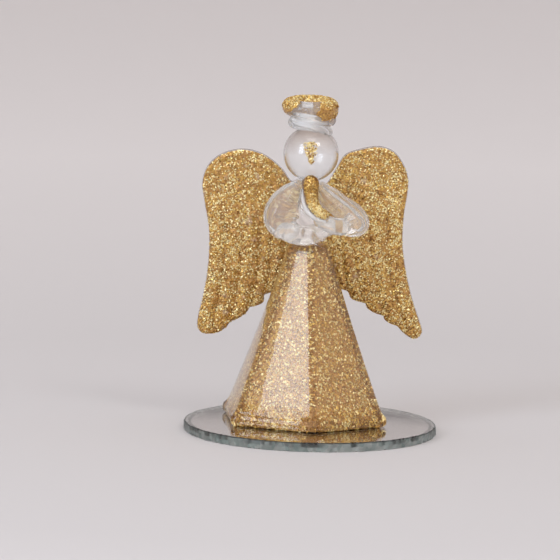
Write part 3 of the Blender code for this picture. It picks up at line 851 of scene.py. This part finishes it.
def head_finish():
    """Clear glass, brown towards the crown: a painted reflection of the gold scene below."""
    finish = Finish("head_clear_glass", CLEAR, 0.06, Transmission_Weight=0.96, IOR=1.5)
    finish.set(Coat_Weight=0.7, Coat_Roughness=0.38)
    height = finish.add("ShaderNodeSeparateXYZ", {0: finish.place()}, "Z")
    # Painted reflection: the brown grows from the ball's middle up to its crown.
    share = finish.held((height - HEAD[2]) * (1 / HEAD_RADIUS))
    finish.set(Base_Color=finish.mixed(share, CLEAR, CROWN_PAINTED_REFLECTION))
    finish.light_through((0.97, 0.96, 0.95))
    return finish


def head():
    """A blown ball: the outside from the small hole at the neck up to the crown, and the
    inside back down."""
    outer = HEAD_RADIUS * pointing(np.linspace(0.12, math.pi, 72) - math.pi / 2)
    profile = np.vstack([outer[::-1], outer * (1 - HEAD_WALL / HEAD_RADIUS)])
    profile[[0, -1], 0] = 0
    ball = skin("head_ball", turned(profile[:, 0], HEAD[2] + profile[:, 1], 96, AXIS))
    settle(ball, "head", head_finish())


def face_dab():
    """Flakes strewn over a shield shape: broad above, pointed below, ragged all round."""
    draw = np.random.default_rng(41)
    x = draw.normal(0, 1.3, 9 * DAB_FLAKES)
    z = draw.uniform(-1.6, 3.5, 9 * DAB_FLAKES)
    width = np.interp(z, [-1.6, -0.6, 0.7, 2.0, 3.0, 3.5], [0.3, 0.9, 1.6, 2.0, 1.85, 1.2])
    middle = np.interp(z, [-1.6, 3.6], [0.1, -0.3])
    kept = np.abs(x - middle) < width * draw.uniform(0.35, 1.0, len(x))
    x, z = x[kept][:DAB_FLAKES] * MM, z[kept][:DAB_FLAKES] * MM
    facing = np.stack([x, -np.sqrt(HEAD_RADIUS**2 - x**2 - z**2), z], axis=1) / HEAD_RADIUS
    points = HEAD + facing * HEAD_RADIUS
    darker = np.where(draw.random(len(x)) < 0.3, 1.0, -0.35)
    plate = 0.34 * MM, 0.45, 0.25 * MM, darker
    flakes("face_flakes", "face_glitter", draw, points, facing, *plate)


head()
face_dab()


# Hair: a clear rod, twisted while soft, wound once and a half round the top of the head and
# up to the halo.


def hair():
    """A helix of nearly one and a half turns. It starts low at the figure's left, climbs
    quickly over the brow and then slowly to the halo, and five flutes wind round it."""
    along = np.linspace(0, 1, 30)
    turn = np.radians(-5 - 500 * along)
    reach = 4.1 + 0.3 * np.cos(turn)
    rise = np.interp(along, [0, 0.08, 0.18, 0.4, 0.7, 1], [-1.3, 0.0, 1.05, 1.15, 1.8, 2.5])
    height = head_high[2] / MM + rise
    size = np.interp(along, [0, 0.1, 0.3, 1], [0.9, 1.25, 1.4, 1.5])
    across = reach * np.cos(turn) - 0.3
    stations = np.stack([across, reach * np.sin(turn), height, size], axis=1)
    made = skin("hair_rod", rod(stations, 260, 64, 5, 0.12, 30.0))
    settle(made, "hair", glass_finish("hair_clear_glass", 0.73))


hair()


# Halo: a thick ring of clear glass, tipped a little forward. Glitter covers its back, its
# top and its two sides, and runs out in a ragged edge before the front.

halo_low, halo_high = box("halo_ring")
HALO = (halo_low + halo_high) / 2
HALO_ROD = 2.1 * MM
HALO_RADIUS = 0.97 * ((halo_high[0] - halo_low[0]) / 2 - HALO_ROD)
HALO_TILT = math.radians(3)
HALO_FLAKES = 3200
# Where the glitter starts and ends, in degrees from the front, at levels from -1 (the rod's
# underside) to 1 (its top).
START_LEVELS, START_TURNS = (-1, -0.2, 0.5, 1), (32, 15, 20, 30)
END_LEVELS, END_TURNS = (-1, -0.5, 0, 0.5, 1), (95, 62, 38, 28, 30)


def halo_grid(turn, roll, grow=0.0):
    """Ring: a rod carried round a circle, then tipped forward. The rod's section is a
    circle whose lower half droops, most at the figure's left."""
    size = HALO_ROD + grow
    side = np.cos(turn)
    droop = 1 + np.where(np.sin(roll) < 0, 0.26 + 0.32 * side + 0.1 * side**2, -0.12)
    reach = HALO_RADIUS + size * np.cos(roll)
    x, y, z = reach * np.cos(turn), reach * np.sin(turn), size * np.sin(roll) * droop
    lean, rise = math.sin(HALO_TILT), math.cos(HALO_TILT)
    return np.stack([x, y * rise - z * lean, y * lean + z * rise], axis=-1) + HALO


def halo():
    """The glass ring, and a sheath of varnish round most of it. Each column of the sheath
    runs from its own start to its own end, so that its two edges slant and wander, and it
    closes inside the rod."""
    draw = np.random.default_rng(51)
    roll = turns(48)[None, :]
    made = skin("halo_glass", halo_grid(turns(120)[:, None], roll), looped=True)
    settle(made, "halo_ring", glass_finish("halo_clear_glass", 0.85))
    level = np.sin(roll)
    wander = 3 * np.sin(5 * roll) + 2 * np.sin(9 * roll + 1)
    start = np.radians(-90 + np.interp(level, START_LEVELS, START_TURNS) + wander)
    end = np.radians(270 - np.interp(level, END_LEVELS, END_TURNS) - wander)
    sheath = start + (end - start) * np.linspace(0, 1, 110)[:, None]
    outside = halo_grid(sheath, roll, 0.05 * MM)
    caps = outside[[0, -1]].mean(axis=1, keepdims=True)
    closed = np.repeat(caps, outside.shape[1], axis=1)
    closed = np.concatenate([closed[:1], outside, closed[1:]])
    coat = skin("halo_varnish", closed)
    gold = varnish_finish("halo_varnish_gold", 0.3 * MM, 0.25, metal=0.5)
    settle(coat, "halo_glitter", gold)
    top = np.clip(0.25 + np.sin(roll), 0.12, 1) * np.ones_like(sheath)
    points, facing, row, column = scatter(outside, HALO_FLAKES, draw, chosen=top)
    facing = outwards(facing, points - outside.mean(axis=1)[row])
    plate = 0.38 * MM, 0.5, 0.1 * MM, 0.28 - 0.55 * top[row, column]
    flakes("halo_flakes", "halo_glitter", draw, points, facing, *plate)


halo()


# Wings: two plates of clear glass, pressed with feathers and glued to the back. Their fronts
# are thickly coated with gold glitter, all but a narrow clear rim.

WING_LEAN = math.radians(10)
WING_STAND = 1.3 * MM
WING_ROOT = 2.2 * MM
WING_WIDTH = 21.6 * MM
WING_HEIGHT = 48.0 * MM
WING_THICKNESS = 1.8 * MM
WING_RIM = 0.14 * MM
WING_ROWS, WING_COLUMNS = 200, 96
LANES = (0, 3.9, 8.0, 12.1, 14.9, 18, 22, 27)
COVERT = 2.6 * MM
WING_FLAKES = 3600
# Feather by feather down the outer edge and home along the inner one, in shares of the wing's
# width and height. Each run starts where the one before it ends.
RIGHT_WING_RUNS = (
    ((0.045, 0.8), (0.12, 0.817), (0.21, 0.875), (0.4, 0.943), (0.62, 0.972), (0.85, 0.952),
     (1.02, 0.89), (1.09, 0.795), (1.06, 0.69), (1.01, 0.565), (1, 0.435), (1.02, 0.305),
     (1.06, 0.19), (1.105, 0.095), (1.11, 0.04), (1.065, 0.008), (0.99, 0), (0.87, 0.01),
     (0.78, 0.04)),
    ((0.735, 0.068), (0.66, 0.085), (0.57, 0.115), (0.525, 0.15)),
    ((0.45, 0.156), (0.38, 0.176), (0.37, 0.22)),
    ((0.31, 0.224), (0.2, 0.255), (0.15, 0.3)),
    ((0.06, 0.4), (0, 0.55), (0, 0.74)),
)
LEFT_WING_RUNS = (
    ((0.03, 0.79), (0.09, 0.811), (0.185, 0.89), (0.27, 0.955), (0.42, 0.985), (0.64, 1.004),
     (0.82, 0.975), (0.93, 0.905), (0.98, 0.835), (0.975, 0.76), (0.945, 0.65), (0.94, 0.5),
     (0.985, 0.36), (1.06, 0.22), (1.15, 0.1), (1.185, 0.045), (1.15, 0.012), (1.08, 0.002),
     (0.98, 0.03), (0.9, 0.068)),
    ((0.82, 0.08), (0.76, 0.1), (0.745, 0.122)),
    ((0.67, 0.129), (0.57, 0.155), (0.54, 0.185)),
    ((0.46, 0.192), (0.38, 0.208), (0.34, 0.243), (0.24, 0.26), (0.15, 0.3)),
    ((0.06, 0.4), (0, 0.55), (0, 0.74)),
)


def wing_outline(runs):
    """Closed outline as (outward, up) in metres: each run a smooth curve, joined at the
    notches between feathers."""
    starts = [run[-1] for run in (runs[-1], *runs[:-1])]
    parts = [smooth([start, *run], 8 * len(run) + 1)[:-1] for start, run in zip(starts, runs)]
    return np.vstack(parts) * [WING_WIDTH, WING_HEIGHT] + [WING_ROOT, -0.626 * WING_HEIGHT]


def edge_distance(points, outline):
    """Distance of each point to the nearest stretch of a closed outline."""
    start, end = outline, np.roll(outline, -1, axis=0)
    reach = end - start
    best = np.full(points.shape[:-1], np.inf)
    for a, along in zip(start, reach):
        if not along.any():
            continue
        share = np.clip(((points - a) @ along) / (along @ along), 0, 1)
        away = points - a - share[..., None] * along
        best = np.minimum(best, np.linalg.norm(away, axis=-1))
    return best


def feathers(across, up, outer):
    """Height of the pressed relief in metres, and how near each point is to a groove. Long
    feathers are lanes beside the outer edge, each a rounded ridge with slanting barbs.
    Coverts above them are staggered round scales."""
    lane = np.interp(outer - across, np.array(LANES) * MM, range(len(LANES)))
    part = lane % 1
    ridge = np.sqrt(np.clip(1 - (2 * part - 1) ** 2, 0, 1))
    barb = np.cos(2 * math.pi * (up + 1.5 * np.abs(part - 0.5) * 4 * MM) / (1.1 * MM))
    long_feather = 0.5 * ridge + 0.05 * barb
    slant = up + 0.25 * across
    row = np.floor(slant / COVERT)
    shift = (across / COVERT + 0.5 * (row % 2)) % 1 - 0.5
    fall = (slant / COVERT) % 1 - 0.5
    scale = 0.22 * np.clip(1 - 2.4 * (shift**2 + fall**2), 0, 1)
    blend = np.clip((up - 1.0 * MM) / (4 * MM), 0, 1)
    return MM * (long_feather * (1 - blend) + scale * blend), (1 - ridge) ** 2 * (1 - blend)


def wing_rows(outline):
    """Grid of (outward, up) points over an outline: level rows, closer together at the top
    and the foot, each from the inner to the outer edge with its points closer to the edges."""
    outer, inner = halves(outline)
    ease = (1 - np.cos(np.linspace(0, math.pi, WING_ROWS))) / 2
    up = outer[0, 1] + (outer[-1, 1] - outer[0, 1]) * ease
    far = np.interp(up, outer[:, 1], outer[:, 0])
    near = np.interp(up, np.maximum.accumulate(inner[:, 1]), inner[:, 0])
    share = (1 - np.cos(np.linspace(0, math.pi, WING_COLUMNS))) / 2
    across = near[:, None] + (far - near)[:, None] * share
    return np.stack([across, np.repeat(up[:, None], WING_COLUMNS, axis=1)], axis=-1)


def halves(outline):
    """The outer and the inner half of an outline, each from its foot up to its top."""
    ring = np.roll(outline, -outline[:, 1].argmax(), axis=0)
    foot = ring[:, 1].argmin()
    return ring[foot::-1], np.vstack([ring[foot:], ring[:1]])


def outline_inset(outline, rim):
    """The outline moved in by a rim, along the normal of the stretch between each point's
    neighbours."""
    after = np.roll(outline, -1, axis=0)
    along = unit(after - np.roll(outline, 1, axis=0))
    area = np.sum(outline[:, 0] * after[:, 1] - after[:, 0] * outline[:, 1])
    inward = np.stack([-along[:, 1], along[:, 0]], axis=1) * np.sign(area)
    return outline + rim * inward


def pressed(flat, outline):
    """Depths of a wing's front and back at (outward, up) points, and how near each is to a
    groove. The two meet at a rounded edge, a quarter circle of the distance to the outline.
    Relief stands out of the front and fades to the edge."""
    edge = edge_distance(flat, outline)
    half = WING_THICKNESS / 2
    dome = half * np.sqrt(np.clip(1 - (1 - np.clip(edge / half, 0, 1)) ** 2, 0, 1))
    outer = halves(outline)[0]
    far = np.interp(flat[..., 1], outer[:, 1], outer[:, 0])
    relief, groove = feathers(flat[..., 0], flat[..., 1], far)
    relief = (relief - 0.3 * MM) * np.clip(edge / (1.6 * MM), 0, 1)
    return half - dome - relief, half + dome, groove


def folded(front, back):
    """One closed loop of points to a row: across the front and home behind."""
    return np.concatenate([front, back[:, -2:0:-1]], axis=1)


def stand(side, flat, front):
    """Sets a wing's (outward, up) points and their depths in place, leaned forward at the
    top."""
    y = front * math.cos(WING_LEAN) - flat[..., 1] * math.sin(WING_LEAN)
    z = front * math.sin(WING_LEAN) + flat[..., 1] * math.cos(WING_LEAN)
    hinge_y = torso_high[1] + WING_STAND
    hinge_z = torso_low[2] + 0.32 * (torso_high[2] - torso_low[2])
    return np.stack([AXIS[0] + side * flat[..., 0], hinge_y + y, hinge_z + z], axis=-1)


def wing(word, side, runs, seed):
    """The pressed plate, and on its front a thin coat of varnish inside a narrow rim. The
    coat thins to nothing at the top and the foot. Flakes lie on it in drifts, thicker where
    one wave of the place times another is high."""
    draw = np.random.default_rng(seed)
    outline = wing_outline(runs)
    flat = wing_rows(outline)
    front, back, _ = pressed(flat, outline)
    plate = skin(f"{word}_wing_glass", folded(stand(side, flat, front), stand(side, flat, back)))
    finish = glass_finish(f"{word}_wing_clear_glass", ripple=0.05 * MM)
    settle(plate, f"{word}_wing", finish)
    flat = wing_rows(outline_inset(outline, WING_RIM))
    front, _, groove = pressed(flat, outline)
    thick = 1 - np.linspace(-1, 1, WING_ROWS)[:, None] ** 8
    coat_front = stand(side, flat, front - 0.06 * MM * thick)
    coat_back = stand(side, flat, front + 0.1 * MM * thick)
    marks = {"pooled": 0.55 * folded(groove, groove)}
    coat = skin(f"{word}_wing_varnish", folded(coat_front, coat_back), **marks)
    gold = varnish_finish(f"{word}_wing_gold", thin_spots=0.36)
    settle(coat, f"{word}_wing_glitter", gold)
    x, y = flat[..., 0] / MM, flat[..., 1] / MM
    wave = np.sin(x / 1.3 + 2 * np.sin(y / 2.1 + seed)) * np.sin(y / 1.7 + 2 * np.sin(x / 2.6))
    points, facing, _, _ = scatter(coat_front, WING_FLAKES, draw, False, 1 + 0.75 * wave)
    facing = outwards(facing, np.array([0, -1, 0]))
    plate = 0.42 * MM, 0.3, 0.1 * MM, -0.5
    flakes(f"{word}_wing_flakes", f"{word}_wing_glitter", draw, points, facing, *plate)


wing("right", -1, RIGHT_WING_RUNS, 61)
wing("left", 1, LEFT_WING_RUNS, 62)


# Wing glue: a long bead of clear glue down each wing's root, squeezed between the plate and
# the figure's back.


def wing_glue(word):
    """An ellipsoid in the CAD bead's box, swollen by a sine that winds round it."""
    low, high = box(f"{word}_wing_adhesive")
    middle, reach = (low + high) / 2, (high - low) / 2
    turn = np.linspace(0, math.pi, 40)[:, None]
    roll = turns(40)[None, :]
    swell = 1 + 0.12 * np.sin(5 * turn + 2 * roll)
    x = 1.5 * reach[0] * np.sin(turn) * np.cos(roll) * swell
    y = 1.25 * reach[1] * np.sin(turn) * np.sin(roll) * swell
    z = -reach[2] * np.cos(turn) * np.ones_like(roll)
    made = skin(f"{word}_wing_glue", np.stack([x, y - 0.09 * z, z], axis=-1) + middle)
    settle(made, f"{word}_wing_adhesive", glue_finish(f"{word}_glue_clear"))


wing_glue("right")
wing_glue("left")


# Studio: a pale seamless sweep, a tall soft lamp to the left of the camera, a smaller one
# above to the right, one overhead, and two large dim cards.

SWEEP = (0.66, 0.635, 0.635)
# Painted light: the far paper is paler, where the lamps light it less.
SWEEP_FAR_PAINTED_LIGHT = (0.84, 0.81, 0.81)
SWEEP_DROP = 0.02 * MM
ABOVE = (0.72, 0.68, 0.67, 1)
BELOW = (0.97, 0.95, 0.96, 1)
AROUND = 0.9


def sweep():
    """A wide bowl: flat floor, quarter-circle bend and upright wall, turned round the
    figure. Its paper is painted paler further out: painted light for the lamps' falloff."""
    bend = [2.4, 0.9] + 0.9 * pointing(np.linspace(-math.pi / 2, 0, 16))
    floor, wall = [(0, 0), (0.3, 0), (1.2, 0)], [(3.3, 2.6), (3.4, 2.6)]
    line = np.vstack([floor, bend, wall, [(3.4, -0.1), (0, -0.1)]])
    made = skin("studio_sweep", turned(line[:, 0], line[:, 1] - SWEEP_DROP, 64))
    finish = Finish("sweep_paper", SWEEP, 0.85)
    reach = finish.vector("LENGTH", finish.place(), output="Value")
    # Painted light: paler further from the figure, where the lamps' light falls off.
    share = finish.held((reach - 0.15) * 2.9)
    finish.set(Base_Color=finish.mixed(share, SWEEP, SWEEP_FAR_PAINTED_LIGHT))
    made.data.materials.append(finish.material)


def lamp(name, azimuth, elevation, distance, size, strength, tint=(1, 1, 1)):
    """Soft box facing the figure. Azimuth is from the front towards the viewer's right."""
    a, e = math.radians(azimuth), math.radians(elevation)
    data = bpy.data.lights.new(name, "AREA")
    data.shape = "RECTANGLE"
    data.size, data.size_y = size
    data.energy = strength * math.pi * size[0] * size[1]
    data.color = tint
    made = placed(name, data)
    out = np.array([math.sin(a) * math.cos(e), -math.cos(a) * math.cos(e), math.sin(e)])
    made.location = out * distance + [0, 0, 0.04]
    made.rotation_euler = (math.pi / 2 - e, 0, a)
    made.visible_camera = False


def world():
    """Soft light from all round, a little weaker from above."""
    made = bpy.data.worlds.new("studio")
    made.use_nodes = True
    tree = made.node_tree
    back = tree.nodes["Background"]
    place = tree.nodes.new("ShaderNodeTexCoord")
    split = tree.nodes.new("ShaderNodeSeparateXYZ")
    ramp = tree.nodes.new("ShaderNodeValToRGB")
    ramp.color_ramp.elements[0].color = BELOW
    ramp.color_ramp.elements[1].color = ABOVE
    tree.links.new(place.outputs["Generated"], split.inputs[0])
    tree.links.new(split.outputs["Z"], ramp.inputs[0])
    tree.links.new(ramp.outputs[0], back.inputs["Color"])
    back.inputs["Strength"].default_value = AROUND
    bpy.context.scene.world = made
    bpy.context.scene.view_settings.view_transform = "Standard"


sweep()
world()
lamp("key_softbox", -45.3, 24, 0.95, (0.32, 0.6), 4.4, (0.88, 1.0, 1.15))
lamp("fill_softbox", 40, 46, 1.1, (0.3, 0.3), 5.0)
lamp("right_card", 78, 20, 1.4, (1.0, 1.0), 0.2)
lamp("front_card", 0, 12, 2.3, (2.0, 1.4), 0.5)
lamp("top_softbox", 0, 78, 1.0, (0.5, 0.5), 2.0)


# Camera: a long lens almost two metres away, a little above the figure. It leans a little to
# one side, and the figure stands right of the middle.

AIM = np.array([-8.0, 0.0, 36.2]) * MM
DISTANCE = 1.8
ELEVATION = math.radians(8.4)
FRAME_WIDTH = 133.1 * MM
ROLL = math.radians(1.5)


def camera():
    data = bpy.data.cameras.new("camera")
    data.sensor_width = 36.0
    data.lens = data.sensor_width * DISTANCE / FRAME_WIDTH
    made = placed("camera", data)
    out = np.array([0, -math.cos(ELEVATION), math.sin(ELEVATION)])
    made.location = AIM + DISTANCE * out
    pitch = Matrix.Rotation(math.pi / 2 - ELEVATION, 3, "X")
    made.rotation_euler = (pitch @ Matrix.Rotation(ROLL, 3, "Z")).to_euler()
    bpy.context.scene.camera = made


camera()
